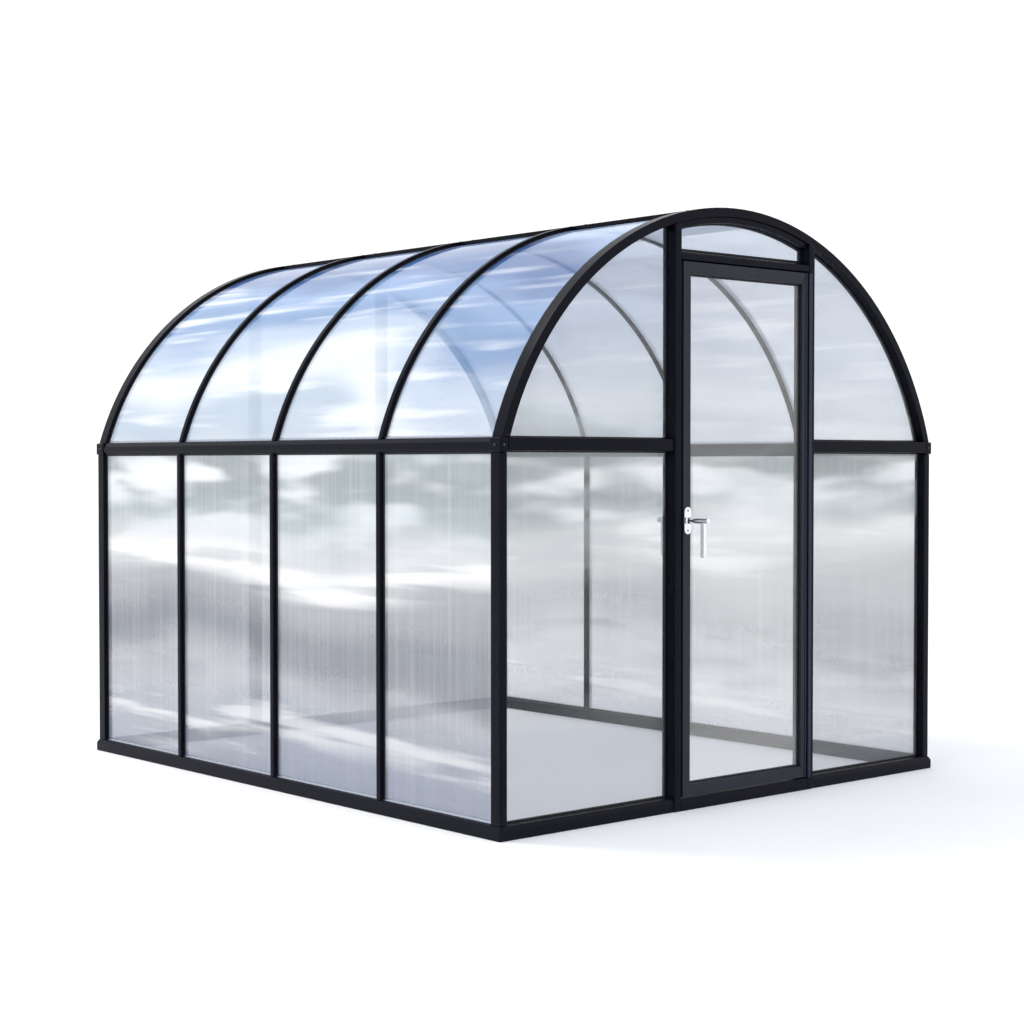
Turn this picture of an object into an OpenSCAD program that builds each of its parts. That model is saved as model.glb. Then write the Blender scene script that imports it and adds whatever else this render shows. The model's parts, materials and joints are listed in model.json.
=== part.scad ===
// Walk-in greenhouse with a round roof.
// An anthracite frame of base rails, posts, eave beams and five arches is glazed with
// polycarbonate sheets. The door stands in the middle of one gable, under a fixed fanlight.
// +Z is up, the door gable faces -Y, and Z = 0 is the ground.
// The plan box, door handle included, is centred on the origin.

/* [Building] */
// Width of the footprint, outside the base rails
base_w = 2300; // [2000:10:3000]
// Length of the footprint, outside the base rails
base_l = 2650; // [2200:10:4000]
// Height of the eaves, where the arches spring
eave_z = 1300; // [1250:10:1600]
// Rise of the arches above the eaves
arch_rise = 850; // [800:10:1000]

/* [Base rails] */
// Height of the base rails
base_h = 48; // [40:1:80]
// Width of the base rails, seen from above
base_depth = 60; // [56:1:90]
// Height of the plain outer face, below the bevel
base_face_h = 34; // [20:1:38]
// How far the base stands out from the walls
base_proud = 8; // [2:1:12]

/* [Walls] */
// Width of a corner post on the gable
post_w = 33; // [25:1:40]
// Width of a corner post on the side wall
post_l = 46; // [40:1:56]
// Width of a wall stud and of a roof rib
stud_w = 24; // [18:1:40]
// Depth of a wall stud, from outside to inside
stud_depth = 33; // [28:1:45]
// Depth of the side sheets behind the outer face of the studs
side_recess = 19; // [8:1:22]
// Thickness of every polycarbonate sheet
sheet_t = 6; // [4:1:10]

/* [Eaves] */
// Height of an eave beam or rail
eave_h = 49; // [40:1:70]
// Height of a gable rail
gable_rail_h = 43; // [30:1:60]
// Width of an eave beam, seen from above
eave_depth = 46; // [40:1:60]

/* [Arches] */
// Height of the curved fascia on the gables
fascia_h = 33; // [24:1:45]
// Depth of the gable arches along the building
arch_depth = 54; // [40:1:54]
// Radial depth of the ribs between the gables
rib_h = 30; // [26:1:40]
// Depth of the roof sheets below the outer edge of the ribs
roof_recess = 17; // [8:1:18]
// Distance of the roof purlins from the middle of the roof
purlin_x = 185; // [100:5:400]
// Width of a roof purlin
purlin_w = 76; // [40:1:100]

/* [Door] */
// Width of the door unit, outside the jambs
door_unit_w = 750; // [600:10:1000]
// How far the door unit stands to the right of the middle
door_shift = 35; // [-100:5:100]
// Width of a jamb's face
jamb_w = 31; // [24:1:45]
// How far the door unit stands out from the base
door_proud = 4; // [0:1:12]
// Height of the threshold
threshold_h = 44; // [20:1:60]
// Height of the underside of the door head
head_z = 1946; // [1800:2:1980]
// Height of the door head
head_h = 24; // [18:1:40]
// Gap round the leaf, above, below and at the hinges
leaf_gap = 5; // [5:1:8]
// Gap between the leaf and the jamb on the lock side
lock_gap = 9; // [5:1:12]
// Thickness of the leaf
leaf_t = 34; // [28:1:40]
// Width of the leaf's stiles
stile_w = 36; // [30:1:60]
// Height of the leaf's rails
leaf_rail_h = 44; // [30:1:80]
// Depth of the door sheet behind the face of the leaf
leaf_recess = 17; // [8:1:20]
// Width of the stop behind the leaf
stop_w = 14; // [8:1:20]
// Gap between the back of the leaf and the stop
stop_gap = 6; // [6:1:12]

/* [Hinge and handle] */
// Radius of the hinge barrel
barrel_r = 5; // [4:0.5:7]
// Radius of the hinge pin
pin_r = 2.5; // [2:0.25:3]
// Number of knuckles, an odd number
knuckles = 7; // [3:2:11]
// Height of the handle's spindle
handle_z = 1028; // [900:5:1150]
// Width of the handle plates
plate_w = 34; // [28:1:36]
// Height of the handle plates
plate_h = 96; // [80:1:160]
// How far the end of the handle stands off the leaf
handle_reach = 104; // [100:1:120]
// How far the middle of the grip stands off the leaf
grip_off = 80; // [50:1:90]
// Length of the grip below the spindle
grip_l = 128; // [90:1:150]

/* [Hidden] */
$fn = 128;
SMALL = 48;
// Overlap that makes cutting tools pass right through
CUT = 1;

// Ends of the footprint, with the handle counted into the plan box
handle_out = handle_reach + door_proud;
y_front = -(base_l - handle_out) / 2;
y_back = (base_l + handle_out) / 2;

// Bays along each side, one roof sheet and one node to each
bays = 4;
bay = base_l / bays;

// Outer faces of the walls
wall_x = base_w / 2 - base_proud;

// Arch circle, seen from the end
spring_inset = 4;
spring_x = wall_x - spring_inset;
arch_r = (spring_x * spring_x + arch_rise * arch_rise) / (2 * arch_rise);
arch_z = eave_z + arch_rise - arch_r;
arch_in_r = arch_r - fascia_h;
sheet_out_r = arch_r - roof_recess;

// Eave beam between the top of the walls and the foot of the roof
eave_curb = 15;
eave_top = eave_z + eave_curb;
eave_bottom = eave_top - eave_h;
eave_lip = 10;
eave_lip_in = 5;
eave_bevel_h = 16;
eave_bevel_in = 12;
gable_rail_top = eave_top;
gable_rail_z = gable_rail_top - gable_rail_h;

// Blocks that join the post, beam, rail and arch at each eave corner
block_out = 4;
block_in_x = wall_x - post_w;

// Depths behind the outer face of the base, measured into the building
post_back = base_proud + 2;
arch_back = base_depth - arch_depth;
rail_back = 2;
sheet_back = 44;
gable_inner = base_depth;

// Posts in the middle of the back gable
back_post_x1 = door_unit_w / 2;
back_post_x0 = back_post_x1 - jamb_w;

// Door unit
unit_x0 = door_shift - door_unit_w / 2;
unit_x1 = door_shift + door_unit_w / 2;
open_x0 = unit_x0 + jamb_w;
open_x1 = unit_x1 - jamb_w;
door_face = y_front - door_proud;
leaf_x0 = open_x0 + lock_gap;
leaf_x1 = open_x1 - leaf_gap;
leaf_z0 = threshold_h + leaf_gap;
leaf_z1 = head_z - leaf_gap;
leaf_back = door_face + leaf_t;
stop_y = leaf_back + stop_gap;
head_top = head_z + head_h;
fan_bar_h = 22;
fan_bar_back = 12;
fan_sill_h = 14;
fan_sill_lip = 4;

// Hinge
hinge_x = (leaf_x1 + open_x1) / 2;
hinge_y = door_face - barrel_r;
hinge_run = leaf_z1 - leaf_z0;
knuckle_gap = 1;
knuckle_l = hinge_run / knuckles;
flange_t = 2;
flange_w = 12;
barrel_clear = 1;
flange_off = barrel_r + barrel_clear;
tab_bite = 1;
pin_clear = 0.2;

// Handle
plate_t = 6;
plate_x = leaf_x0 + stile_w / 2;
spindle_r = 5;
spindle_clear = 0.5;
neck_r = 8;
hub_r = 9.5;
hub_start = 40;
grip_x = 13;
grip_y = 17;
collar_r = 12;
collar_l = 6;

// ---------- Helpers ----------

module frame_colour() { color("#22242e") children(); }
module leaf_colour() { color("#343a45") children(); }
module sheet_colour() { color("#b9cbe0", 0.45) children(); }
module bright_colour() { color("#e6e9ee") children(); }

// Box between two corners
module block(lo, hi) {
    translate(lo) cube(hi - lo);
}

// Both sides of the building, from the piece on the +X side
module both_sides() {
    children();
    mirror([1, 0, 0]) children();
}

// Disc of the arch circle, seen from the end, between two distances along the building
module disc(r, y0, y1) {
    translate([0, y1, arch_z]) rotate([90, 0, 0]) cylinder(r = r, h = y1 - y0);
}

// Curved band that follows the roof above a given height
module arch_band(r_in, r_out, y0, y1, foot_z) {
    intersection() {
        difference() {
            disc(r_out, y0, y1);
            disc(r_in, y0 - CUT, y1 + CUT);
        }
        block([-base_w, y0 - CUT, foot_z], [base_w, y1 + CUT, foot_z + base_w]);
    }
}

// Upright piece in the gable that ends against the underside of the arch
module under_arch(x0, x1, y0, y1, z0, r = arch_in_r) {
    intersection() {
        block([x0, y0, z0], [x1, y1, arch_z + arch_r]);
        disc(r, y0 - CUT, y1 + CUT);
    }
}

// Distance along the building, measured inwards from the front or back of the base
function from_front(d) = y_front + d;
function from_back(d) = y_back - d;

// Middle of stud or rib number i, counted from the front
function rib_y(i) = y_front + i * bay;

// Clear space of bay number i, between the faces of its studs, posts or ribs
function bay_start(i, end_w) = i == 1 ? from_front(end_w) : rib_y(i - 1) + stud_w / 2;
function bay_end(i, end_w) = i == bays ? from_back(end_w) : rib_y(i) - stud_w / 2;

// ---------- Base ----------

// Outline of a base rail across its length, outer face at x = 0
module base_outline() {
    polygon([[0, 0], [0, base_face_h], [-base_proud, base_h], [-base_depth, base_h], [-base_depth, 0]]);
}

// Rail of a given length along +Y with both ends mitred, outer face at x = 0
module mitred_rail(length) {
    intersection() {
        translate([0, length, 0]) rotate([90, 0, 0]) linear_extrude(length) base_outline();
        linear_extrude(base_h)
            polygon([[0, 0], [0, length], [-base_depth, length - base_depth], [-base_depth, base_depth]]);
    }
}

module base_rail_right() {
    frame_colour() translate([base_w / 2, y_front, 0]) mitred_rail(base_l);
}

module base_rail_left() {
    mirror([1, 0, 0]) base_rail_right();
}

module base_rail_back() {
    frame_colour() translate([base_w / 2, y_back, 0]) rotate([0, 0, 90]) mitred_rail(base_w);
}

// The front rail stops at the door unit
module base_rails_front() {
    frame_colour() difference() {
        translate([-base_w / 2, y_front, 0]) rotate([0, 0, -90]) mitred_rail(base_w);
        block([unit_x0, y_front - CUT, -CUT], [unit_x1, y_front + base_depth + CUT, base_h + CUT]);
    }
}

// ---------- Walls ----------

// Corner post on the +X side, from the front of the building inwards
module corner_post(y0) {
    frame_colour() block([wall_x - post_w, y0, base_h], [wall_x, y0 + post_l, eave_bottom]);
}

module corner_post_front_right() { corner_post(from_front(post_back)); }
module corner_post_front_left() { mirror([1, 0, 0]) corner_post_front_right(); }
module corner_post_back_right() { corner_post(from_back(post_back + post_l)); }
module corner_post_back_left() { mirror([1, 0, 0]) corner_post_back_right(); }

module side_studs_right() {
    frame_colour() for (i = [1 : bays - 1])
        block([wall_x - stud_depth, rib_y(i) - stud_w / 2, base_h],
              [wall_x, rib_y(i) + stud_w / 2, eave_bottom]);
}

module side_studs_left() { mirror([1, 0, 0]) side_studs_right(); }

// Side sheets stand between the studs, on the base rail and under the eave beam
module wall_sheets_right() {
    sheet_colour() for (i = [1 : bays])
        block([wall_x - side_recess - sheet_t, bay_start(i, post_back + post_l), base_h],
              [wall_x - side_recess, bay_end(i, post_back + post_l), eave_bottom]);
}

module wall_sheets_left() { mirror([1, 0, 0]) wall_sheets_right(); }

module back_posts() {
    frame_colour() both_sides()
        under_arch(back_post_x0, back_post_x1, from_back(gable_inner), from_back(rail_back), base_h);
}

// ---------- Eaves ----------

// Eave beam: lip at the bottom, plain face, sloped top
module eave_outline() {
    polygon([
        [0, eave_lip], [0, eave_h - eave_bevel_h], [-eave_bevel_in, eave_h],
        [-eave_depth, eave_h], [-eave_depth, 0], [-eave_lip_in, 0], [-eave_lip_in, eave_lip]
    ]);
}

module eave_beam_right() {
    y0 = from_front(gable_inner);
    y1 = from_back(gable_inner);
    frame_colour() translate([wall_x, y1, eave_bottom])
        rotate([90, 0, 0]) linear_extrude(y1 - y0) eave_outline();
}

module eave_beam_left() { mirror([1, 0, 0]) eave_beam_right(); }

module eave_corner_blocks() {
    frame_colour() both_sides() {
        block([block_in_x, from_front(rail_back), eave_bottom],
              [wall_x + block_out, from_front(gable_inner), eave_top]);
        block([block_in_x, from_back(gable_inner), eave_bottom],
              [wall_x + block_out, from_back(rail_back), eave_top]);
    }
}

module front_eave_rails() {
    frame_colour() {
        block([-block_in_x, from_front(rail_back), gable_rail_z],
              [unit_x0, from_front(gable_inner), gable_rail_top]);
        block([unit_x1, from_front(rail_back), gable_rail_z],
              [block_in_x, from_front(gable_inner), gable_rail_top]);
    }
}

module back_eave_rails() {
    frame_colour() {
        both_sides()
            block([back_post_x1, from_back(gable_inner), gable_rail_z],
                  [block_in_x, from_back(rail_back), gable_rail_top]);
        block([-back_post_x0, from_back(gable_inner), gable_rail_z],
              [back_post_x0, from_back(rail_back), gable_rail_top]);
    }
}

// ---------- Roof ----------

module front_arch() {
    frame_colour() arch_band(arch_in_r, arch_r, from_front(arch_back), from_front(arch_back + arch_depth),
                             eave_top);
}

module back_arch() {
    frame_colour() arch_band(arch_in_r, arch_r, from_back(arch_back + arch_depth), from_back(arch_back),
                             eave_top);
}

module roof_rib(i) {
    frame_colour() arch_band(arch_r - rib_h, arch_r, rib_y(i) - stud_w / 2, rib_y(i) + stud_w / 2, eave_top);
}

module roof_sheet(i) {
    sheet_colour() arch_band(sheet_out_r - sheet_t, sheet_out_r,
                             bay_start(i, gable_inner), bay_end(i, gable_inner), eave_top);
}

// Purlins lie on the roof sheets, bay by bay, flush with the outer edge of the ribs
module roof_purlins_right() {
    frame_colour() for (i = [1 : bays])
        intersection() {
            arch_band(sheet_out_r, arch_r, bay_start(i, gable_inner), bay_end(i, gable_inner), eave_top);
            block([purlin_x - purlin_w / 2, y_front, arch_z],
                  [purlin_x + purlin_w / 2, y_back, arch_z + arch_r + CUT]);
        }
}

module roof_purlins_left() { mirror([1, 0, 0]) roof_purlins_right(); }

// ---------- Gable sheets ----------

// Lower sheet between two uprights, on the base rail and under the gable rail
module gable_sheet_lower(x0, x1, y0) {
    block([x0, y0, base_h], [x1, y0 + sheet_t, gable_rail_z]);
}

// Upper sheet between the rail, the upright and the arch
module gable_sheet_upper(x0, x1, y0) {
    under_arch(x0, x1, y0, y0 + sheet_t, gable_rail_top);
}

module front_sheets_lower() {
    sheet_colour() {
        gable_sheet_lower(post_w - wall_x, unit_x0, from_front(sheet_back));
        gable_sheet_lower(unit_x1, wall_x - post_w, from_front(sheet_back));
    }
}

module front_sheets_upper() {
    sheet_colour() {
        gable_sheet_upper(-wall_x, unit_x0, from_front(sheet_back));
        gable_sheet_upper(unit_x1, wall_x, from_front(sheet_back));
    }
}

module back_sheets_lower() {
    y0 = from_back(sheet_back + sheet_t);
    sheet_colour() {
        both_sides() gable_sheet_lower(back_post_x1, wall_x - post_w, y0);
        gable_sheet_lower(-back_post_x0, back_post_x0, y0);
    }
}

module back_sheets_upper() {
    y0 = from_back(sheet_back + sheet_t);
    sheet_colour() {
        both_sides() gable_sheet_upper(back_post_x1, wall_x, y0);
        gable_sheet_upper(-back_post_x0, back_post_x0, y0);
    }
}

// ---------- Door unit ----------

module door_threshold() {
    frame_colour() block([open_x0, door_face, 0], [open_x1, from_front(base_depth), threshold_h]);
}

// Jamb from the ground to the arch, with the stop that the leaf closes in front of
module door_jamb_right() {
    frame_colour() {
        under_arch(open_x1, unit_x1, door_face, from_front(gable_inner), 0);
        block([open_x1 - stop_w, stop_y, threshold_h], [open_x1 + CUT, from_front(gable_inner), head_z]);
    }
}

module door_jamb_left() {
    frame_colour() {
        under_arch(unit_x0, open_x0, door_face, from_front(gable_inner), 0);
        block([open_x0 - CUT, stop_y, threshold_h], [open_x0 + stop_w, from_front(gable_inner), head_z]);
    }
}

module door_head() {
    frame_colour() {
        block([open_x0, door_face, head_z], [open_x1, from_front(gable_inner), head_top]);
        block([open_x0 + stop_w, stop_y, head_z - stop_w],
              [open_x1 - stop_w, from_front(gable_inner), head_z + CUT]);
    }
}

module fanlight_head_bar() {
    frame_colour() intersection() {
        arch_band(arch_in_r - fan_bar_h, arch_in_r, from_front(fan_bar_back), from_front(gable_inner), eave_top);
        block([open_x0, y_front, head_top], [open_x1, from_front(gable_inner + CUT), arch_z + arch_r]);
    }
}

// Sill with a sloped top that sheds water off the head
module fanlight_sill() {
    run = gable_inner - fan_bar_back;
    frame_colour() translate([open_x0, from_front(fan_bar_back), head_top])
        rotate([90, 0, 90]) linear_extrude(open_x1 - open_x0)
            polygon([[0, 0], [0, fan_sill_lip], [sheet_back - fan_bar_back, fan_sill_h], [run, fan_sill_h], [run, 0]]);
}

module fanlight_sheet() {
    sheet_colour() under_arch(open_x0, open_x1, from_front(sheet_back), from_front(sheet_back + sheet_t),
                              head_top + fan_sill_h, arch_in_r - fan_bar_h);
}

// ---------- Door leaf ----------

// Upright flat shape, given across the width and the height, with its face at the door face
module leaf_slab(points, y0, t) {
    translate([0, y0 + t, 0]) rotate([90, 0, 0]) linear_extrude(t) polygon(points);
}

module spindle_hole() {
    translate([plate_x, door_face - handle_reach, handle_z]) rotate([-90, 0, 0])
        cylinder(r = spindle_r + spindle_clear, h = 2 * handle_reach + leaf_t, $fn = SMALL);
}

module door_stiles() {
    leaf_colour() {
        difference() {
            leaf_slab([
                [leaf_x0, leaf_z0], [leaf_x0 + stile_w, leaf_z0 + leaf_rail_h],
                [leaf_x0 + stile_w, leaf_z1 - leaf_rail_h], [leaf_x0, leaf_z1]
            ], door_face, leaf_t);
            spindle_hole();
        }
        leaf_slab([
            [leaf_x1, leaf_z0], [leaf_x1 - stile_w, leaf_z0 + leaf_rail_h],
            [leaf_x1 - stile_w, leaf_z1 - leaf_rail_h], [leaf_x1, leaf_z1]
        ], door_face, leaf_t);
    }
}

module door_rails() {
    leaf_colour() {
        leaf_slab([
            [leaf_x0, leaf_z0], [leaf_x0 + stile_w, leaf_z0 + leaf_rail_h],
            [leaf_x1 - stile_w, leaf_z0 + leaf_rail_h], [leaf_x1, leaf_z0]
        ], door_face, leaf_t);
        leaf_slab([
            [leaf_x0, leaf_z1], [leaf_x0 + stile_w, leaf_z1 - leaf_rail_h],
            [leaf_x1 - stile_w, leaf_z1 - leaf_rail_h], [leaf_x1, leaf_z1]
        ], door_face, leaf_t);
    }
}

module door_sheet() {
    sheet_colour() block([leaf_x0 + stile_w, door_face + leaf_recess, leaf_z0 + leaf_rail_h],
                         [leaf_x1 - stile_w, door_face + leaf_recess + sheet_t, leaf_z1 - leaf_rail_h]);
}

// ---------- Hinge ----------

function knuckle_z(i) = leaf_z0 + i * knuckle_l;

// Knuckle number i, with the tab that joins it to a flange on the side given by dir
module knuckle(i, dir) {
    z0 = knuckle_z(i) + (i == 0 ? 0 : knuckle_gap / 2);
    z1 = knuckle_z(i + 1) - (i == knuckles - 1 ? 0 : knuckle_gap / 2);
    translate([hinge_x, hinge_y, z0]) cylinder(r = barrel_r, h = z1 - z0, $fn = SMALL);
    block([min(hinge_x, hinge_x + dir * (flange_off + tab_bite)), door_face - flange_t, z0],
          [max(hinge_x, hinge_x + dir * (flange_off + tab_bite)), door_face, z1]);
}

module flange(dir) {
    near = hinge_x + dir * flange_off;
    far = near + dir * flange_w;
    block([min(near, far), door_face - flange_t, leaf_z0], [max(near, far), door_face, leaf_z1]);
}

module hinge_pin(r) {
    translate([hinge_x, hinge_y, leaf_z0]) cylinder(r = r, h = hinge_run, $fn = SMALL);
}

module door_hinge_fixed() {
    bright_colour() {
        flange(1);
        for (i = [0 : 2 : knuckles - 1]) knuckle(i, 1);
        hinge_pin(pin_r);
    }
}

module door_hinge_moving() {
    bright_colour() difference() {
        union() {
            flange(-1);
            for (i = [1 : 2 : knuckles - 1]) knuckle(i, -1);
        }
        hinge_pin(pin_r + pin_clear);
    }
}

// ---------- Handle ----------

// Plate with round ends on one face of the leaf
module handle_plate(y0) {
    end_z = (plate_h - plate_w) / 2;
    translate([plate_x, y0 + plate_t, handle_z]) rotate([90, 0, 0]) linear_extrude(plate_t) {
        square([plate_w, 2 * end_z], center = true);
        for (s = [-1, 1]) translate([0, s * end_z]) circle(d = plate_w, $fn = SMALL);
    }
}

module door_handle_plates() {
    bright_colour() difference() {
        union() {
            handle_plate(door_face - plate_t);
            handle_plate(leaf_back);
        }
        spindle_hole();
    }
}

// Round bar along the spindle, between two distances out from the face of the leaf
module spindle_bar(d0, d1, r0, r1) {
    translate([plate_x, door_face - d0, handle_z]) rotate([90, 0, 0])
        cylinder(r1 = r0, r2 = r1, h = d1 - d0, $fn = SMALL);
}

// Lever outside the leaf: collar, neck, hub and the grip that hangs from it
module lever() {
    collar_start = plate_t + pin_clear;
    spindle_bar(collar_start, collar_start + collar_l, collar_r, neck_r);
    spindle_bar(collar_start + collar_l, hub_start, neck_r, hub_r);
    spindle_bar(hub_start, handle_reach, hub_r, hub_r);
    block([plate_x - grip_x / 2, door_face - grip_off - grip_y / 2, handle_z - grip_l],
          [plate_x + grip_x / 2, door_face - grip_off + grip_y / 2, handle_z]);
}

// The levers on both faces turn together on one spindle
module door_handle_levers() {
    middle_y = door_face + leaf_t / 2;
    bright_colour() {
        lever();
        translate([0, 2 * middle_y, 0]) mirror([0, 1, 0]) lever();
        translate([plate_x, door_face - hub_start, handle_z]) rotate([-90, 0, 0])
            cylinder(r = spindle_r, h = 2 * hub_start + leaf_t, $fn = SMALL);
    }
}

// ---------- Nodes ----------

base_rail_left();
base_rail_right();
base_rail_back();
base_rails_front();
corner_post_front_left();
corner_post_front_right();
corner_post_back_left();
corner_post_back_right();
side_studs_left();
side_studs_right();
eave_beam_left();
eave_beam_right();
eave_corner_blocks();
front_eave_rails();
back_eave_rails();
front_arch();
back_arch();
roof_rib(1);  // roof_rib_1
roof_rib(2);  // roof_rib_2
roof_rib(3);  // roof_rib_3
roof_purlins_left();
roof_purlins_right();
back_posts();
wall_sheets_left();
wall_sheets_right();
roof_sheet(1);  // roof_sheet_1
roof_sheet(2);  // roof_sheet_2
roof_sheet(3);  // roof_sheet_3
roof_sheet(4);  // roof_sheet_4
front_sheets_lower();
front_sheets_upper();
back_sheets_lower();
back_sheets_upper();
door_threshold();
door_jamb_left();
door_jamb_right();
door_head();
fanlight_head_bar();
fanlight_sill();
fanlight_sheet();
door_hinge_fixed();
door_stiles();
door_rails();
door_sheet();
door_hinge_moving();
door_handle_plates();
door_handle_levers();
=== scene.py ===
# %% [markdown]
# # A round-roofed polycarbonate greenhouse
# The frame, the sheets, the door and its lever are already built at their real size and place.
# This lesson gives them the look of the real thing: powder-coated metal with softened edges,
# clear sheets with a painted reflection of a blurred sky and garden and a painted glow, glazing
# beads, screws and a polished lever.

# %% Load the frame
import json
import math

import bmesh
import bpy
from mathutils import Matrix, Vector


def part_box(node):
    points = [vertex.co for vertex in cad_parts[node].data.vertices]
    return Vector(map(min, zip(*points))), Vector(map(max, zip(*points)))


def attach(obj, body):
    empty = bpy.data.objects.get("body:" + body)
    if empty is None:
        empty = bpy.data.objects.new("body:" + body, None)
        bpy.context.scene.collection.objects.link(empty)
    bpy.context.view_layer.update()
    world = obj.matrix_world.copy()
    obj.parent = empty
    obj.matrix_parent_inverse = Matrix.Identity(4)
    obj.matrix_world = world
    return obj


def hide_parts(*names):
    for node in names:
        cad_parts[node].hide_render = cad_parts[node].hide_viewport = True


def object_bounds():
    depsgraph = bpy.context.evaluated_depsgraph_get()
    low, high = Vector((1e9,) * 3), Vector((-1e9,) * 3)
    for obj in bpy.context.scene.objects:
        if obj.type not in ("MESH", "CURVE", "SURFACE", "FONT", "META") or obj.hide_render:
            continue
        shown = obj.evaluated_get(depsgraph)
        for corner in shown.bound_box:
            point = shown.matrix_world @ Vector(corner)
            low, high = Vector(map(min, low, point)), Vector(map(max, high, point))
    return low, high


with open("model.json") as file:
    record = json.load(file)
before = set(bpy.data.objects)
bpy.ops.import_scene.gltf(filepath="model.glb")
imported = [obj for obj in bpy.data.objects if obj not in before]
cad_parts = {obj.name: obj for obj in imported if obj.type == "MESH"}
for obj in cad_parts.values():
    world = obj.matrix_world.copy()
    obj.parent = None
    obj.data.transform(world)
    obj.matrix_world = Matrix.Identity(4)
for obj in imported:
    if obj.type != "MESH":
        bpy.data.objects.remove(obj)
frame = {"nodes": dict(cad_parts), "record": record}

scene = bpy.context.scene
nodes = frame["nodes"]
cad_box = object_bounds()
print("frame:", len(nodes), "nodes, box", [round(v, 3) for v in (*cad_box[0], *cad_box[1])])

# %% [markdown]
# A few sizes come back again and again, so they are read from the frame once. The arches are
# parts of one circle. Its radius follows from the width and the height of an arch: a circle
# through the two feet and the top has only one possible centre.

# %% Sizes read from the frame
left_rail, right_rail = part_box("base_rail_left"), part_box("base_rail_right")
FRONT_Y, BACK_Y = left_rail[0].y, left_rail[1].y
MIDDLE_Y = (FRONT_Y + BACK_Y) / 2
arch_low, arch_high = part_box("front_arch")
half_chord = arch_high.x
rise = arch_high.z - arch_low.z
ARCH_R = (half_chord ** 2 + rise ** 2) / (2 * rise)
ARCH_Z = arch_high.z - ARCH_R
EAVE_TOP = arch_low.z
print("arch radius", round(ARCH_R, 4), "centre height", round(ARCH_Z, 4), "eaves", round(EAVE_TOP, 3))

# %% [markdown]
# ## Writing shader maths as Python
# A material is a graph of nodes. Written out link by link it is hard to read, so two small
# classes help: `Graph` adds any node from its type, settings and inputs, and `Number` wraps a
# socket so that `1 - mask * 0.4` adds the Math nodes by itself.

# %% Shader helpers
class Number:
    """One number in a node graph, with Python's arithmetic."""

    def __init__(self, graph, socket):
        self.graph = graph
        self.socket = socket

    def maths(self, operation, *values, clamp=False):
        settings = {"operation": operation, "use_clamp": clamp}
        node = self.graph.add("ShaderNodeMath", settings, dict(enumerate(values)))
        return Number(self.graph, node.outputs[0])

    def __add__(self, other):
        return self.maths("ADD", self, other)

    def __sub__(self, other):
        return self.maths("SUBTRACT", self, other)

    def __mul__(self, other):
        return self.maths("MULTIPLY", self, other)

    def __truediv__(self, other):
        return self.maths("DIVIDE", self, other)

    def __pow__(self, other):
        return self.maths("POWER", self, other)

    def __rsub__(self, other):
        return self.maths("SUBTRACT", other, self)

    __radd__ = __add__
    __rmul__ = __mul__

    def clamped(self):
        return self.maths("ADD", self, 0.0, clamp=True)

    def size(self):
        return self.maths("ABSOLUTE", self)

    def near(self, middle, reach):
        """1 at the middle value, fading to 0 at that distance from it."""
        return 1 - (self - middle).size().step(0.0, reach)

    def step(self, low, high):
        """0 below low, 1 above high, smooth between them."""
        node = self.graph.add(
            "ShaderNodeMapRange", {"interpolation_type": "SMOOTHSTEP"}, {0: self, 1: low, 2: high}
        )
        return Number(self.graph, node.outputs[0])


class Graph:
    """Adds nodes to a node tree, and hands back what comes out of them."""

    def __init__(self, tree):
        self.tree = tree
        tree.nodes.clear()

    def add(self, kind, settings=None, inputs=None):
        node = self.tree.nodes.new(kind)
        for name, value in (settings or {}).items():
            if name == "stops":
                self.set_stops(node.color_ramp, value)
                node.color_ramp.interpolation = "EASE"
            else:
                setattr(node, name, value)
        for key, value in (inputs or {}).items():
            value = value.socket if isinstance(value, Number) else value
            if isinstance(value, bpy.types.NodeSocket):
                self.tree.links.new(value, node.inputs[key])
            else:
                node.inputs[key].default_value = value
        return node

    def set_stops(self, ramp, stops):
        while len(ramp.elements) < len(stops):
            ramp.elements.new(1.0)
        for element, (place, colour) in zip(ramp.elements, stops):
            element.position = place
            element.color = colour

    def number(self, kind, settings=None, inputs=None, output=0):
        return Number(self, self.add(kind, settings, inputs).outputs[output])

    def place(self):
        """The point on the surface, in metres, in the frame that every piece shares."""
        return self.add("ShaderNodeTexCoord").outputs["Object"]

    def split(self, vector):
        node = self.add("ShaderNodeSeparateXYZ", None, {0: vector})
        return [Number(self, node.outputs[axis]) for axis in range(3)]

    def stretched(self, vector, scale):
        return self.add("ShaderNodeMapping", None, {"Vector": vector, "Scale": scale}).outputs[0]

    def noise(self, vector, scale, detail=2.0, roughness=0.5):
        inputs = {"Vector": vector, "Scale": scale, "Detail": detail, "Roughness": roughness}
        return self.number("ShaderNodeTexNoise", None, inputs)

    def ramp(self, factor, stops):
        return self.add("ShaderNodeValToRGB", {"stops": stops}, {0: factor}).outputs[0]

    def mix(self, factor, first, second):
        settings = {"data_type": "RGBA", "clamp_factor": True}
        return self.add("ShaderNodeMix", settings, {0: factor, 6: first, 7: second}).outputs[2]

    def bump(self, height, distance, strength=1.0):
        inputs = {"Height": height, "Distance": distance, "Strength": strength}
        return self.add("ShaderNodeBump", None, inputs).outputs[0]


def colour(red, green, blue):
    """A screen colour from 0 to 255, turned into the linear light that shaders use."""
    linear = [
        v / 255 / 12.92 if v / 255 <= 0.04045 else ((v / 255 + 0.055) / 1.055) ** 2.4
        for v in (red, green, blue)
    ]
    return (*linear, 1.0)


def new_finish(name):
    material = bpy.data.materials.new(name)
    material.use_nodes = True
    return material, Graph(material.node_tree)


def show(graph, surface):
    graph.add("ShaderNodeOutputMaterial", None, {"Surface": surface.outputs[0]})


print("shader helpers ready")

# %% [markdown]
# ## Powder coat
# The profiles are sprayed with dry paint and baked. Close up the paint has a fine pebbled
# skin. Further off its gloss drifts a little, rain leaves faint runs on the uprights, and dust
# settles near the ground. All four are noise at different scales, read in metres.

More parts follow.
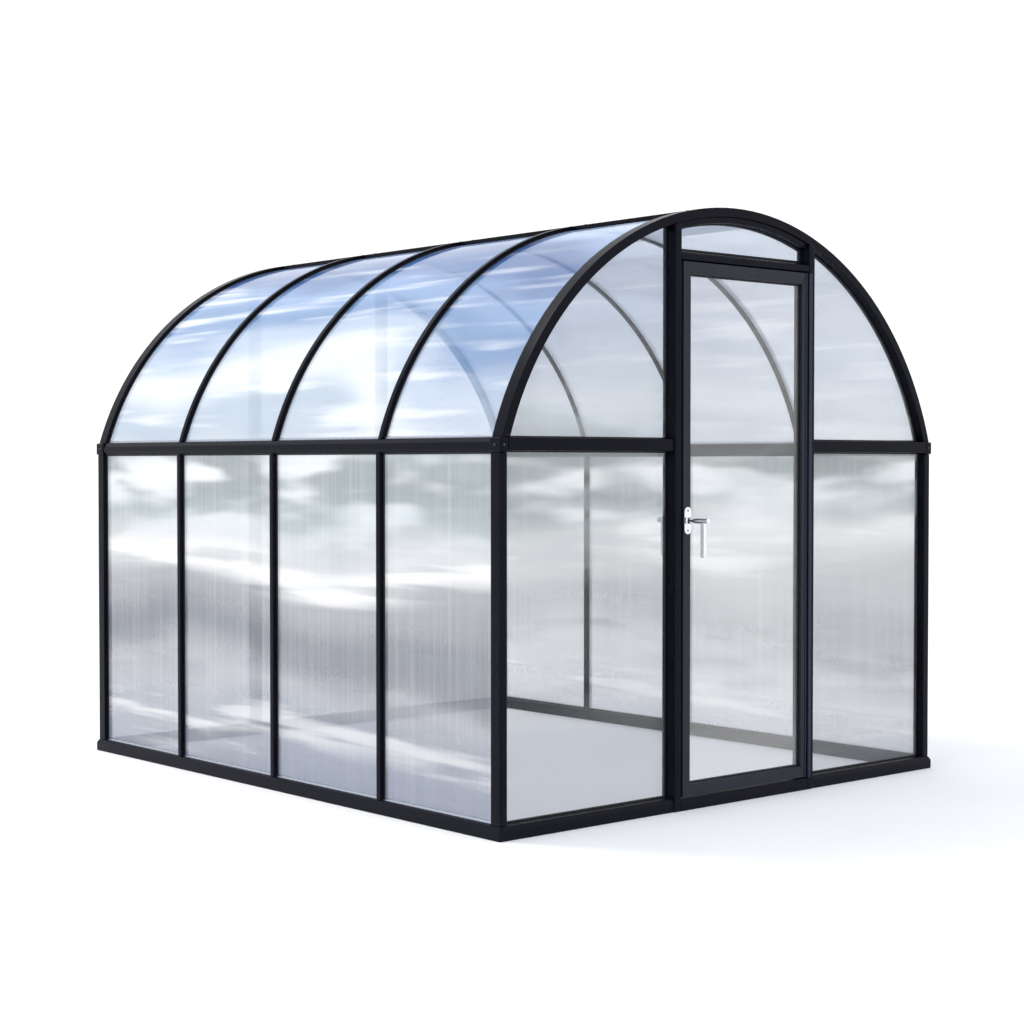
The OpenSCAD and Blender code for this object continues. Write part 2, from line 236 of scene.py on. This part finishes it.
# %% Powder coat finish
def powder_coat(name, paint, dust, sheen, gloss):
    material, graph = new_finish(name)
    place = graph.place()
    height = graph.split(place)[2]
    drift = graph.noise(place, 5.0, 4.0)
    runs = graph.noise(graph.stretched(place, (45.0, 45.0, 1.2)), 1.0, 3.0)
    pebbles = graph.noise(place, 900.0, 2.0)
    specks = graph.noise(place, 140.0, 4.0, 0.7)
    low_down = 1 - height.step(0.0, 0.14)
    dusty = (low_down * specks * 0.35 + (runs - 0.52).clamped() * 0.25).clamped()
    lighter = [min(1.0, v * 1.7) for v in paint[:3]] + [1.0]
    surface = graph.add("ShaderNodeBsdfPrincipled", None, {
        "Base Color": graph.mix(dusty * 0.22, graph.mix(drift, paint, lighter), dust),
        "Roughness": sheen + drift * 0.14 + dusty * 0.25,
        "Normal": graph.bump(pebbles, 0.00025, 0.6),
        "Specular IOR Level": gloss,
    })
    show(graph, surface)
    return material


dark_coat = powder_coat("anthracite_powder_coat", colour(5, 6, 15), colour(78, 80, 92), 0.22, 0.08)
leaf_coat = powder_coat("blue_grey_powder_coat", colour(20, 24, 34), colour(92, 96, 106), 0.28, 0.22)
print("finishes:", dark_coat.name, leaf_coat.name)

# %% [markdown]
# ## Polycarbonate
# Clear polycarbonate is never quite clear. It scatters a little light, and here that glow is
# painted in as emission. The sky and the garden are painted into its colour as a painted
# reflection in long soft bands: blue high up, cloud below, a grey verge near the ground. The
# bands are a colour ramp over height, bent by noise that is stretched along the wall. The
# flutes inside the sheet show as faint upright lines.

# %% Flat sheet finish
BAND_TOP = cad_box[1].z
# Painted reflection: the heights and tints of the sky and garden bands painted into the flat sheets, with the
# painted tree, verge and cloud colours below.
PAINTED_GARDEN_REFLECTION = [
    (0.04, (118, 124, 140)), (0.22, (120, 125, 136)), (0.36, (142, 144, 150)), (0.54, (96, 100, 108)),
    (0.74, (130, 131, 136)), (0.90, (184, 185, 187)), (1.04, (178, 184, 188)), (1.22, (196, 199, 202)),
    (1.40, (190, 200, 206)), (1.62, (206, 213, 219)), (1.84, (180, 200, 220)), (2.06, (112, 144, 184)),
]
PAINTED_TREE_REFLECTION = colour(84, 98, 100)
PAINTED_VERGE_REFLECTION = colour(92, 95, 104)
PAINTED_CLOUD_WHITE = colour(214, 214, 213)


def band_stops(bands, top):
    return [(height / top, colour(*tint)) for height, tint in bands]


def clear_sheet(name, foot_haze, haze, tree_haze, lift, painted_glow):
    """A flat sheet. The haze is how much one face hides. The glow is painted light: emission that stands in
    for scattered daylight. Lift is painted light that whitens the painted reflection.
    """
    material, graph = new_finish(name)
    place = graph.place()
    height = graph.split(place)[2]
    swell = graph.noise(graph.stretched(place, (0.8, 0.8, 1.6)), 1.0, 1.0)
    patches = graph.noise(graph.stretched(place, (1.5, 1.5, 8.0)), 1.0, 2.0, 0.45)
    wisps = graph.noise(graph.stretched(place, (1.1, 1.1, 16.0)), 1.0, 2.0, 0.5)
    flutes = graph.noise(graph.stretched(place, (38.0, 38.0, 0.5)), 1.0, 1.0)
    bent = height + (swell - 0.5) * 0.40
    painted_garden = graph.ramp((bent / BAND_TOP).clamped(), band_stops(PAINTED_GARDEN_REFLECTION, BAND_TOP))
    painted_trees = bent.near(1.20, 0.44) * patches.step(0.38, 0.58)
    painted_verge = bent.near(0.46, 0.20) * patches.step(0.40, 0.62)
    painted_clouds = (bent.near(0.84, 0.13) + bent.near(0.20, 0.12) * 0.7) * wisps.step(0.42, 0.62)
    # The tone is a painted reflection. Lift is painted light: it mixes the bands towards the painted cloud
    # white, so the sheet reads as more brightly lit.
    tone = graph.mix(lift, painted_garden, PAINTED_CLOUD_WHITE)
    tone = graph.mix(painted_trees * 0.72, tone, PAINTED_TREE_REFLECTION)
    tone = graph.mix(painted_verge * 0.60, tone, PAINTED_VERGE_REFLECTION)
    tone = graph.mix(painted_clouds * 0.75, tone, PAINTED_CLOUD_WHITE)
    tone = graph.mix((flutes - 0.5).size() * 0.4, tone, PAINTED_CLOUD_WHITE)
    rim = graph.number("ShaderNodeLayerWeight", None, {"Blend": 0.35}, output=1)
    cover = foot_haze + height.step(0.10, 0.55) * (haze - foot_haze)
    surface = graph.add("ShaderNodeBsdfPrincipled", None, {
        "Base Color": tone,
        "Roughness": 0.12 + patches * 0.10,
        "Alpha": (cover + (wisps - 0.5) * haze * 0.4 + painted_trees * tree_haze + rim ** 3 * 0.3).clamped(),
        # Painted glow: the sheet shines by emission, though it is no lamp.
        "Emission Color": tone,
        "Emission Strength": painted_glow,
        "Normal": graph.bump(flutes, 0.0001, 0.3),
        "IOR": 1.58,
    })
    show(graph, surface)
    return material


# Lift and glow are painted light, set sheet by sheet. The right wall, the gables and most of all the door
# sheet are painted brighter, as if lit through. The right wall is a painted lit copy of the left.
wall_clear = clear_sheet("milky_wall_sheet", 0.56, 0.68, 0.06, 0.0, 0.50)
painted_lit_wall = clear_sheet("painted_backlit_wall_sheet", 0.52, 0.60, 0.08, 0.30, 0.68)
gable_clear = clear_sheet("clear_gable_sheet", 0.14, 0.06, 0.44, 0.40, 0.40)
door_clear = clear_sheet("clear_door_sheet", 0.14, 0.08, 0.10, 0.85, 0.65)
FINISH_OF = {"wall_sheets_left": wall_clear, "wall_sheets_right": painted_lit_wall, "door_sheet": door_clear}
print("finishes:", wall_clear.name, painted_lit_wall.name, gable_clear.name, door_clear.name)

# %% [markdown]
# The roof sheets are bent over the ribs, so their painted sky reflection follows the curve. The
# angle round the arch takes the place of height: nought at the crown and about 70 degrees at the
# eaves. The bands are long along the building, as reflected clouds are when the sheet bends only
# one way. The right-hand slope is painted lighter, as if in sun, and a painted glow lights it all.

# %% Curved sheet finish
EAVE_ANGLE = math.atan2(half_chord, EAVE_TOP - ARCH_Z)
PAINTED_SKY_REFLECTION = [
    (0.00, (168, 186, 212)), (0.12, (136, 160, 196)), (0.24, (64, 94, 144)), (0.38, (62, 96, 148)),
    (0.50, (120, 146, 184)), (0.60, (98, 128, 168)), (0.70, (158, 172, 192)), (0.82, (196, 202, 210)),
    (0.91, (158, 170, 184)), (1.00, (176, 184, 192)),
]
PAINTED_SUNLIT_WHITE = colour(212, 216, 222)


def sky_sheet(name, near_haze, haze):
    """A bent sheet: clearer over the first bays and hazier towards the far end."""
    material, graph = new_finish(name)
    across, along, height = graph.split(graph.place())
    angle = across.size().maths("ARCTAN2", across.size(), height - ARCH_Z) / EAVE_ANGLE
    side = across.step(-0.2, 0.2)
    unrolled = graph.add("ShaderNodeCombineXYZ", None, {0: angle, 1: along, 2: side}).outputs[0]
    swell = graph.noise(graph.stretched(unrolled, (1.6, 0.55, 3.0)), 1.3, 1.0)
    streaks = graph.noise(graph.stretched(unrolled, (8.0, 0.7, 3.0)), 1.0, 2.0, 0.5)
    wisps = graph.noise(graph.stretched(unrolled, (22.0, 1.1, 3.0)), 1.0, 2.0, 0.5)
    nearby = 1 - along.step(FRONT_Y, MIDDLE_Y)
    bent = angle + (swell - 0.5) * 0.40 + (streaks - 0.5) * 0.16 - nearby * 0.22
    painted_sky = graph.ramp(bent.clamped(), [(place, colour(*tint)) for place, tint in PAINTED_SKY_REFLECTION])
    painted_clouds = wisps.step(0.50, 0.72) * bent.step(0.10, 0.55)
    rim = graph.number("ShaderNodeLayerWeight", None, {"Blend": 0.35}, output=1)
    cover = haze - nearby * (haze - near_haze)
    # Painted reflection of sky and clouds. The side mask paints the right-hand slope lighter with the sunlit
    # white, a painted highlight as if in sun.
    tone = graph.mix(painted_clouds * 0.8, painted_sky, PAINTED_SUNLIT_WHITE)
    tone = graph.mix(side * 0.55, tone, PAINTED_SUNLIT_WHITE)
    surface = graph.add("ShaderNodeBsdfPrincipled", None, {
        "Base Color": tone,
        "Roughness": 0.07 + streaks * 0.08,
        "Alpha": (cover + (streaks - 0.5) * 0.20 + rim ** 3 * 0.35).clamped(),
        # Painted glow: the sheet shines by emission, though it is no lamp.
        "Emission Color": tone,
        "Emission Strength": 0.32,
        "Normal": graph.bump(wisps, 0.0002, 0.3),
        "IOR": 1.58,
    })
    show(graph, surface)
    return material


roof_clear = sky_sheet("clear_roof_sheet", 0.42, 0.70)
print("finish:", roof_clear.name)

# %% [markdown]
# ## Bright metal and rubber
# The lever is polished. Chrome needs something to reflect, fine scratches, and a few dull
# finger marks. The hinge is brushed along its length. The glazing rubber is nearly black and
# has no gloss.

# %% Small finishes
def metal(name, tone, sheen, brushed):
    material, graph = new_finish(name)
    place = graph.place()
    smears = graph.noise(place, 38.0, 3.0, 0.6)
    scratches = graph.noise(graph.stretched(place, brushed), 1.0, 2.0)
    surface = graph.add("ShaderNodeBsdfPrincipled", None, {
        "Base Color": graph.mix(smears * 0.35, tone, [v * 0.72 for v in tone[:3]] + [1.0]),
        "Metallic": 1.0,
        "Roughness": sheen + smears * 0.10 + (scratches - 0.5).size() * 0.12,
        "Normal": graph.bump(scratches, 0.00006, 0.5),
    })
    show(graph, surface)
    return material


def rubber(name, tone):
    material, graph = new_finish(name)
    place = graph.place()
    bloom = graph.noise(place, 60.0, 4.0, 0.6)
    surface = graph.add("ShaderNodeBsdfPrincipled", None, {
        "Base Color": graph.mix(bloom * 0.5, tone, [v * 2.2 for v in tone[:3]] + [1.0]),
        "Roughness": 0.55 + bloom * 0.2,
        "Normal": graph.bump(graph.noise(place, 700.0), 0.0001, 0.5),
    })
    show(graph, surface)
    return material


chrome = metal("polished_chrome", colour(244, 245, 248), 0.17, (500.0, 500.0, 60.0))
hinge_metal = metal("brushed_hinge_metal", colour(52, 56, 70), 0.26, (900.0, 900.0, 20.0))
# Pale aluminium for the closing strips. Its pale colour is partly a painted highlight along the eaves and the
# base.
pale_metal_painted_highlight = metal("mill_aluminium_painted_highlight", colour(176, 182, 196), 0.22, (20.0, 900.0, 900.0))
screw_metal = metal("dark_screw_metal", colour(74, 78, 92), 0.24, (300.0, 300.0, 300.0))
seal = rubber("glazing_rubber", colour(14, 14, 18))
print("finishes:", chrome.name, hinge_metal.name, pale_metal_painted_highlight.name, screw_metal.name, seal.name)

# %% [markdown]
# ## Soft edges on the profiles
# No real profile has a perfectly sharp edge, and the thin bright line along a rounded edge is
# what makes metal read as metal. A CAD mesh stays as it is, so each profile gets a copy: its
# loose triangles are merged, flat faces are joined up, and every sharp outer edge is bevelled.

# %% Rounded copies
def finish_mesh(name, shape, material, body, smooth_angle=50.0):
    """Turns a bmesh into a piece that rides on a body."""
    mesh = bpy.data.meshes.new(name)
    shape.to_mesh(mesh)
    shape.free()
    mesh.materials.append(material)
    mesh.polygons.foreach_set("use_smooth", [True] * len(mesh.polygons))
    mesh.set_sharp_from_angle(angle=math.radians(smooth_angle))
    piece = bpy.data.objects.new(name, mesh)
    scene.collection.objects.link(piece)
    shading = piece.modifiers.new("even_shading", "WEIGHTED_NORMAL")
    shading.keep_sharp = True
    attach(piece, body)
    return piece


def merged_copy(node):
    """A bmesh copy of a CAD node with its triangles merged and its flat faces joined."""
    shape = bmesh.new()
    shape.from_mesh(nodes[node].data)
    bmesh.ops.remove_doubles(shape, verts=shape.verts, dist=0.00002)
    flat = math.radians(0.6)
    bmesh.ops.dissolve_limit(shape, angle_limit=flat, verts=shape.verts, edges=shape.edges)
    return shape


def soften(shape, width, segments=2, sharper_than=24.0):
    limit = math.radians(sharper_than)
    edges = [e for e in shape.edges if len(e.link_faces) == 2 and e.is_convex and e.calc_face_angle() > limit]
    bmesh.ops.bevel(
        shape, geom=edges, offset=width, offset_type="OFFSET", segments=segments,
        profile=0.5, affect="EDGES", clamp_overlap=True, material=-1,
    )


def rounded(node, material, width, body="building", segments=2):
    shape = merged_copy(node)
    soften(shape, width, segments)
    piece = finish_mesh(node + "_rounded", shape, material, body)
    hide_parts(node)
    return piece


PROFILE_EDGE = 0.0028
FRAME_NODES = [
    name for name in nodes
    if name.startswith((
        "base_rail", "corner_post", "side_studs", "eave_", "front_eave", "back_eave", "front_arch",
        "back_arch", "roof_rib", "roof_purlins", "back_posts", "door_threshold", "door_jamb",
        "door_head", "fanlight_head", "fanlight_sill",
    ))
]
for name in sorted(FRAME_NODES):
    wide = 0.006 if name == "eave_corner_blocks" else PROFILE_EDGE
    rounded(name, dark_coat, wide, segments=3 if wide > PROFILE_EDGE else 2)
print(len(FRAME_NODES), "frame nodes rounded")

# %% Door leaf, hinge and handle
for name in ("door_stiles", "door_rails"):
    rounded(name, leaf_coat, PROFILE_EDGE, body="door")
rounded("door_hinge_fixed", hinge_metal, 0.0006)
rounded("door_hinge_moving", hinge_metal, 0.0006, body="door")
rounded("door_handle_plates", chrome, 0.0020, body="door", segments=3)
rounded("door_handle_levers", chrome, 0.0032, body="door_handle", segments=4)
print("door leaf, hinge and handle rounded")

# %% [markdown]
# ## Curved roof sheets
# The sheets are bent over the ribs in one smooth curve. A spin of their small end section
# about the arch's centre gives a finer curve than the frame's own facets.

# %% Roof sheets
def arc_spin(shape, corners, start, turn, steps):
    """Spins a closed outline of (radius, y) corners about the arch's centre line. Angles from +X."""
    centre = Vector((0.0, 0.0, ARCH_Z))
    direction = Vector((math.cos(start), 0.0, math.sin(start)))
    ring = [shape.verts.new(centre + direction * radius + Vector((0.0, y, 0.0))) for radius, y in corners]
    face = shape.faces.new(ring)
    spun = bmesh.ops.spin(
        shape, geom=[face, *face.edges, *face.verts], cent=centre, axis=(0.0, -1.0, 0.0),
        angle=turn, steps=steps, use_merge=False, use_duplicate=False,
    )
    end = [g for g in spun["geom_last"] if isinstance(g, bmesh.types.BMFace)]
    ends = [face] if face.is_valid and len(face.edges) and not end else []
    return ends + end


def foot_angle(radius, height=EAVE_TOP):
    return math.asin((height - ARCH_Z) / radius)


def arc_piece(name, corners, start, turn, steps, material, body):
    shape = bmesh.new()
    arc_spin(shape, corners, start, turn, steps)
    bmesh.ops.remove_doubles(shape, verts=shape.verts, dist=0.00001)
    holes = [e for e in shape.edges if e.is_boundary]
    if holes:
        bmesh.ops.holes_fill(shape, edges=holes)
    bmesh.ops.recalc_face_normals(shape, faces=shape.faces)
    return finish_mesh(name, shape, material, body)


ROOF_STEPS = 96
sheet_names = sorted(name for name in nodes if name.startswith("roof_sheet"))
for name in sheet_names:
    low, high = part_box(name)
    outer = high.z - ARCH_Z
    inner = outer - 0.006
    start = foot_angle(inner) + 0.0006
    corners = [(inner, low.y), (outer, low.y), (outer, high.y), (inner, high.y)]
    piece = arc_piece(
        name + "_bent", corners, start, math.pi - 2 * start, ROOF_STEPS, roof_clear, "building"
    )
    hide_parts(name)
print(len(sheet_names), "roof sheets bent, outer radius", round(outer, 4))

# %% Flat sheets keep their own shape
FLAT_SHEETS = sorted(name for name in nodes if "sheet" in name and not name.startswith("roof"))
for name in FLAT_SHEETS:
    for slot in nodes[name].material_slots:
        slot.material = FINISH_OF.get(name, gable_clear)
print(len(FLAT_SHEETS), "flat sheet nodes finished")

# %% [markdown]
# ## Glazing beads
# A sheet is held by rubber beads pressed in along its edges, outside and inside. The bead
# follows the outline of the sheet it holds, so it is made from that outline: take one face of
# the sheet, inset it by the width of the bead, drop the middle and thicken what is left.

# %% Beads round the flat sheets
BEAD_W = 0.0055
BEAD_H = 0.0035


def bead(name, node, outward, body):
    outward = Vector(outward)
    shape = merged_copy(node)
    other_sides = [f for f in shape.faces if f.normal.dot(outward) < 0.99]
    bmesh.ops.delete(shape, geom=other_sides, context="FACES")
    rim = bmesh.ops.inset_region(
        shape, faces=shape.faces[:], thickness=BEAD_W, depth=0.0, use_even_offset=True, use_boundary=True
    )["faces"]
    kept = set(rim)
    middle = [f for f in shape.faces if f not in kept]
    bmesh.ops.delete(shape, geom=middle, context="FACES")
    surface_at = max(v.co.dot(outward) for v in shape.verts)
    bmesh.ops.solidify(shape, geom=shape.faces[:], thickness=BEAD_H)
    lowest = min(v.co.dot(outward) for v in shape.verts)
    bmesh.ops.translate(shape, vec=outward * (surface_at - lowest), verts=shape.verts)
    bmesh.ops.recalc_face_normals(shape, faces=shape.faces)
    return finish_mesh(name, shape, seal, body)


OUTWARD = {"wall_sheets_left": (-1, 0, 0), "wall_sheets_right": (1, 0, 0)}
for name in FLAT_SHEETS:
    out = OUTWARD.get(name, (0, 1, 0) if name.startswith("back") else (0, -1, 0))
    body = "door" if name == "door_sheet" else "building"
    bead(name + "_bead_outside", name, out, body)
    bead(name + "_bead_inside", name, [-v for v in out], body)
print(2 * len(FLAT_SHEETS), "beads")

# %% [markdown]
# The roof sheets are held the same way along the ribs. At the eaves a pale aluminium strip
# closes the open flutes of each sheet, and the same strip stands along the foot of each wall
# sheet. Their pale colour is partly a painted highlight: it stands in for the thin light lines
# along the eaves and the base.

# %% Beads and closing strips of the roof and the walls
bead_ends = []
for name in sheet_names:
    low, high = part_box(name)
    bead_ends += [(low.y, low.y + BEAD_W), (high.y - BEAD_W, high.y)]
ROOF_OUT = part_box(sheet_names[0])[1].z - ARCH_Z
ROOF_FOOT = foot_angle(ROOF_OUT) + 0.004
for number, (y0, y1) in enumerate(bead_ends, 1):
    section = [(ROOF_OUT, y0), (ROOF_OUT + BEAD_H, y0), (ROOF_OUT + BEAD_H, y1), (ROOF_OUT, y1)]
    arc_piece(
        f"roof_bead_{number}", section, ROOF_FOOT, math.pi - 2 * ROOF_FOOT, 72, seal, "building"
    )


def long_bars(name, outline, spans, mirrored, material, body="building", edge=0.0006):
    """Bars along Y with one (x, z) outline, on one side of the building or on both."""
    shape = bmesh.new()
    for side in (1, -1) if mirrored else (1,):
        for y0, y1 in spans:
            face = shape.faces.new([shape.verts.new((x * side, y0, z)) for x, z in outline])
            grown = bmesh.ops.extrude_face_region(shape, geom=[face])["geom"]
            tips = [g for g in grown if isinstance(g, bmesh.types.BMVert)]
            bmesh.ops.translate(shape, vec=(0.0, y1 - y0, 0.0), verts=tips)
            shape.faces.new([v for v in reversed(face.verts)]) if not face.is_valid else None
    bmesh.ops.remove_doubles(shape, verts=shape.verts, dist=0.00001)
    gaps = [e for e in shape.edges if e.is_boundary]
    if gaps:
        bmesh.ops.holes_fill(shape, edges=gaps)
    bmesh.ops.recalc_face_normals(shape, faces=shape.faces)
    soften(shape, edge, 1)
    return finish_mesh(name, shape, material, body)


roof_spans = [(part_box(name)[0].y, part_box(name)[1].y) for name in sheet_names]
foot_x = math.sqrt(ROOF_OUT ** 2 - (EAVE_TOP - ARCH_Z) ** 2)
STRIP = 0.0045
STRIP_H = 0.009
eave_strip = [
    (foot_x - 0.001, EAVE_TOP), (foot_x + STRIP, EAVE_TOP), (foot_x + STRIP, EAVE_TOP + STRIP_H * 0.6),
    (foot_x + STRIP * 0.4, EAVE_TOP + STRIP_H), (foot_x - 0.004, EAVE_TOP + STRIP_H),
]
long_bars("eave_closing_strips", eave_strip, roof_spans, True, pale_metal_painted_highlight)
wall_low, wall_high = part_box("wall_sheets_right")
RAIL_TOP = left_rail[1].z
foot_strip = [
    (wall_high.x, RAIL_TOP), (wall_high.x + 0.008, RAIL_TOP), (wall_high.x + 0.008, RAIL_TOP + 0.003),
    (wall_high.x + 0.0045, RAIL_TOP + 0.0085), (wall_high.x, RAIL_TOP + 0.0085),
]
studs = sorted((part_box(f"roof_rib_{n}")[0].y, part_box(f"roof_rib_{n}")[1].y) for n in (1, 2, 3))
wall_edges = [wall_low.y] + [y for stud in studs for y in stud] + [wall_high.y]
wall_spans = list(zip(wall_edges[0::2], wall_edges[1::2]))
long_bars("base_closing_strips", foot_strip, wall_spans, True, pale_metal_painted_highlight)
print(len(bead_ends), "roof beads,", len(roof_spans) + len(wall_spans), "strips a side")

# %% [markdown]
# ## Screws and bolts
# Button-head screws hold the handle plates, the hinge leaves, the purlins and the eave
# corners. A head is a low cone with a flat ring round a socket sunk in its top.

# %% Screws
def screw_heads(name, places, facing, radius, tall, material, body="building"):
    shape = bmesh.new()
    turn = Vector((0, 0, 1)).rotation_difference(Vector(facing)).to_matrix().to_4x4()
    for place in places:
        lift = Matrix.Translation(Vector(place) + Vector(facing).normalized() * tall / 2)
        made = bmesh.ops.create_cone(
            shape, cap_ends=True, segments=16, radius1=radius, radius2=radius * 0.72, depth=tall,
            matrix=lift @ turn,
        )["verts"]
        top = max(
            {f for v in made for f in v.link_faces if len(f.verts) == 16},
            key=lambda f: f.calc_center_median().dot(Vector(facing)),
        )
        bmesh.ops.inset_region(shape, faces=[top], thickness=radius * 0.34, depth=0.0)
        bmesh.ops.inset_region(shape, faces=[top], thickness=radius * 0.02, depth=-tall * 0.5)
    bmesh.ops.recalc_face_normals(shape, faces=shape.faces)
    return finish_mesh(name, shape, material, body, smooth_angle=35.0)


plate_low, plate_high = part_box("door_handle_plates")
PLATE_X = (plate_low.x + plate_high.x) / 2
PLATE_Z = (plate_low.z + plate_high.z) / 2
SCREW_UP = (plate_high.z - plate_low.z) / 2 - 0.013
for side, y, facing in (("outside", plate_low.y, (0, -1, 0)), ("inside", plate_high.y, (0, 1, 0))):
    spots = [(PLATE_X, y, PLATE_Z + SCREW_UP), (PLATE_X, y, PLATE_Z - SCREW_UP)]
    screw_heads(f"handle_screws_{side}", spots, facing, 0.0036, 0.0014, screw_metal, "door")

hinge_joint = next(j for j in frame["record"]["behaviour"]["joints"] if j["name"] == "door_hinge")
HINGE_X, HINGE_Y = hinge_joint["pos_m"][:2]
fixed_low, fixed_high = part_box("door_hinge_fixed")
FLANGE_MID = 0.012
FLANGE_FACE = HINGE_Y + 0.003
hinge_rows = [fixed_low.z + (fixed_high.z - fixed_low.z) * (n + 0.5) / 7 for n in range(7)]
for body, node, side in (("building", "fixed", 1), ("door", "moving", -1)):
    spots = [(HINGE_X + side * FLANGE_MID, FLANGE_FACE, z) for z in hinge_rows]
    screw_heads(
        f"hinge_screws_{node}", spots, (0, -1, 0), 0.0026, 0.0010, screw_metal, body
    )

block_low, block_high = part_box("eave_corner_blocks")
BLOCK_Z = (block_low.z + block_high.z) / 2
BOLT_R, BOLT_T = 0.0048, 0.0018
BLOCK_IN = 0.018
for side, x in (("left", block_low.x), ("right", block_high.x)):
    sign = 1 if x > 0 else -1
    gable_spots = (((x - sign * BLOCK_IN, block_low.y, BLOCK_Z), (0, -1, 0), "front"),
                   ((x - sign * BLOCK_IN, block_high.y, BLOCK_Z), (0, 1, 0), "back"))
    for spot, facing, end in gable_spots:
        screw_heads(f"corner_bolt_{side}_{end}", [spot], facing, BOLT_R, BOLT_T, screw_metal)
    side_spots = [(x, block_low.y + 0.029, BLOCK_Z), (x, block_high.y - 0.029, BLOCK_Z)]
    screw_heads(f"corner_bolts_{side}_side", side_spots, (sign, 0, 0), BOLT_R, BOLT_T, screw_metal)

purlin_low, purlin_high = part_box("roof_purlins_right")
purlin_mid = (purlin_low.x + purlin_high.x) / 2
tilt = math.asin(purlin_mid / ARCH_R)
for side, sign in (("left", -1), ("right", 1)):
    facing = (sign * math.sin(tilt), 0.0, math.cos(tilt))
    top_x, top_z = facing[0] * ARCH_R, ARCH_Z + facing[2] * ARCH_R
    spots = [(top_x, y + inset, top_z) for y0, y1 in roof_spans for y, inset in ((y0, 0.03), (y1, -0.03))]
    screw_heads(f"purlin_screws_{side}", spots, facing, 0.0045, 0.0020, screw_metal)
print("screws and bolts in place")

# %% [markdown]
# ## Ring on the lever's neck
# A dark nylon ring takes the wear where the lever leaves its plate, on both faces of the leaf. Its near-black
# colour is also painted shade: it stands for the shadow at the lever's neck.

# %% Neck rings
def neck_ring(name, y, body):
    shape = bmesh.new()
    middle = Vector((PLATE_X, y, PLATE_Z))
    section = []
    for step in range(10):
        turn = 2 * math.pi * step / 10
        offset = Vector((0.0094 + 0.0016 * math.cos(turn), 0.0026 * math.sin(turn), 0.0))
        section.append(shape.verts.new(middle + offset))
    rim = [shape.edges.new((section[n - 1], section[n])) for n in range(10)]
    bmesh.ops.spin(
        shape, geom=[*section, *rim], cent=middle, axis=(0, 1, 0), angle=2 * math.pi, steps=32, use_merge=True
    )
    bmesh.ops.recalc_face_normals(shape, faces=shape.faces)
    return finish_mesh(name, shape, seal, body)


NECK_OUT = 0.0145
# Near-black rings, partly painted shade at the lever's neck.
neck_ring("neck_ring_outside", plate_low.y - NECK_OUT + 0.006, "door_handle")
neck_ring("neck_ring_inside", plate_high.y + NECK_OUT - 0.006, "door_handle")
print("neck rings at", round(PLATE_X, 3), round(PLATE_Z, 3))

# %% [markdown]
# ## Camera, light and floor
# The camera stands at eye level off the front left corner. The floor is pale and plain, the
# light is soft, and one large lamp behind the left shoulder of the building throws a faint
# shadow towards the door side.

# %% Camera
EYE = Vector((-5.150, MIDDLE_Y - 5.964, 1.230))
TURN = math.radians(41.14)
TILT = math.radians(-1.47)
camera_data = bpy.data.cameras.new("camera")
camera_data.lens = 66.73
camera_data.sensor_width = 36.0
camera = bpy.data.objects.new("camera", camera_data)
camera.location = EYE
camera.rotation_euler = (math.pi / 2 + TILT, 0.0, -TURN)
scene.collection.objects.link(camera)
scene.camera = camera
print("camera at", [round(v, 3) for v in EYE])

# %% Floor
FLOOR_SIZE = 60.0
floor_shape = bmesh.new()
bmesh.ops.create_grid(floor_shape, x_segments=1, y_segments=1, size=FLOOR_SIZE / 2)
floor_mesh = bpy.data.meshes.new("floor")
floor_shape.to_mesh(floor_mesh)
floor_shape.free()
floor = bpy.data.objects.new("floor", floor_mesh)
scene.collection.objects.link(floor)
floor_finish, graph = new_finish("pale_floor")
grain = graph.noise(graph.place(), 3.0, 3.0)
show(graph, graph.add("ShaderNodeBsdfPrincipled", None, {
    "Base Color": graph.mix(grain, colour(250, 250, 251), colour(246, 246, 248)),
    "Roughness": 0.9,
    "Specular IOR Level": 0.2,
}))
floor_mesh.materials.append(floor_finish)
print("floor", FLOOR_SIZE, "m wide")

# %% Soft daylight
scene.view_settings.view_transform = "Standard"
world = bpy.data.worlds.new("studio_air")
scene.world = world
world.use_nodes = True
graph = Graph(world.node_tree)
upward = graph.split(graph.add("ShaderNodeTexCoord").outputs["Generated"])[2]
sky_light = graph.ramp((upward * 0.5 + 0.5).clamped(), [
    (0.00, (1.00, 1.00, 1.00, 1.0)), (0.52, (1.00, 1.00, 1.00, 1.0)), (0.62, (1.00, 1.00, 1.00, 1.0)),
    (0.80, (0.96, 0.98, 1.00, 1.0)), (1.00, (0.92, 0.96, 1.00, 1.0)),
])
backdrop = graph.add("ShaderNodeBackground", None, {"Color": sky_light, "Strength": 1.14})
graph.add("ShaderNodeOutputWorld", None, {"Surface": backdrop.outputs[0]})


def soft_lamp(name, place, target, width, height, power, tint):
    lamp_data = bpy.data.lights.new(name, "AREA")
    lamp_data.shape = "RECTANGLE"
    lamp_data.size = width
    lamp_data.size_y = height
    lamp_data.energy = power
    lamp_data.color = tint
    lamp = bpy.data.objects.new(name, lamp_data)
    lamp.location = place
    lamp.rotation_euler = (Vector(target) - Vector(place)).to_track_quat("-Z", "Y").to_euler()
    scene.collection.objects.link(lamp)
    return lamp


soft_lamp("key_lamp", (-3.4, 3.6, 8.6), (0.0, 0.0, 0.6), 2.0, 2.0, 300.0, (1.0, 0.97, 0.92))
soft_lamp("side_strip", (-7.5, -1.5, 2.6), (0.0, 0.0, 1.1), 0.5, 4.0, 90.0, (0.90, 0.93, 1.0))
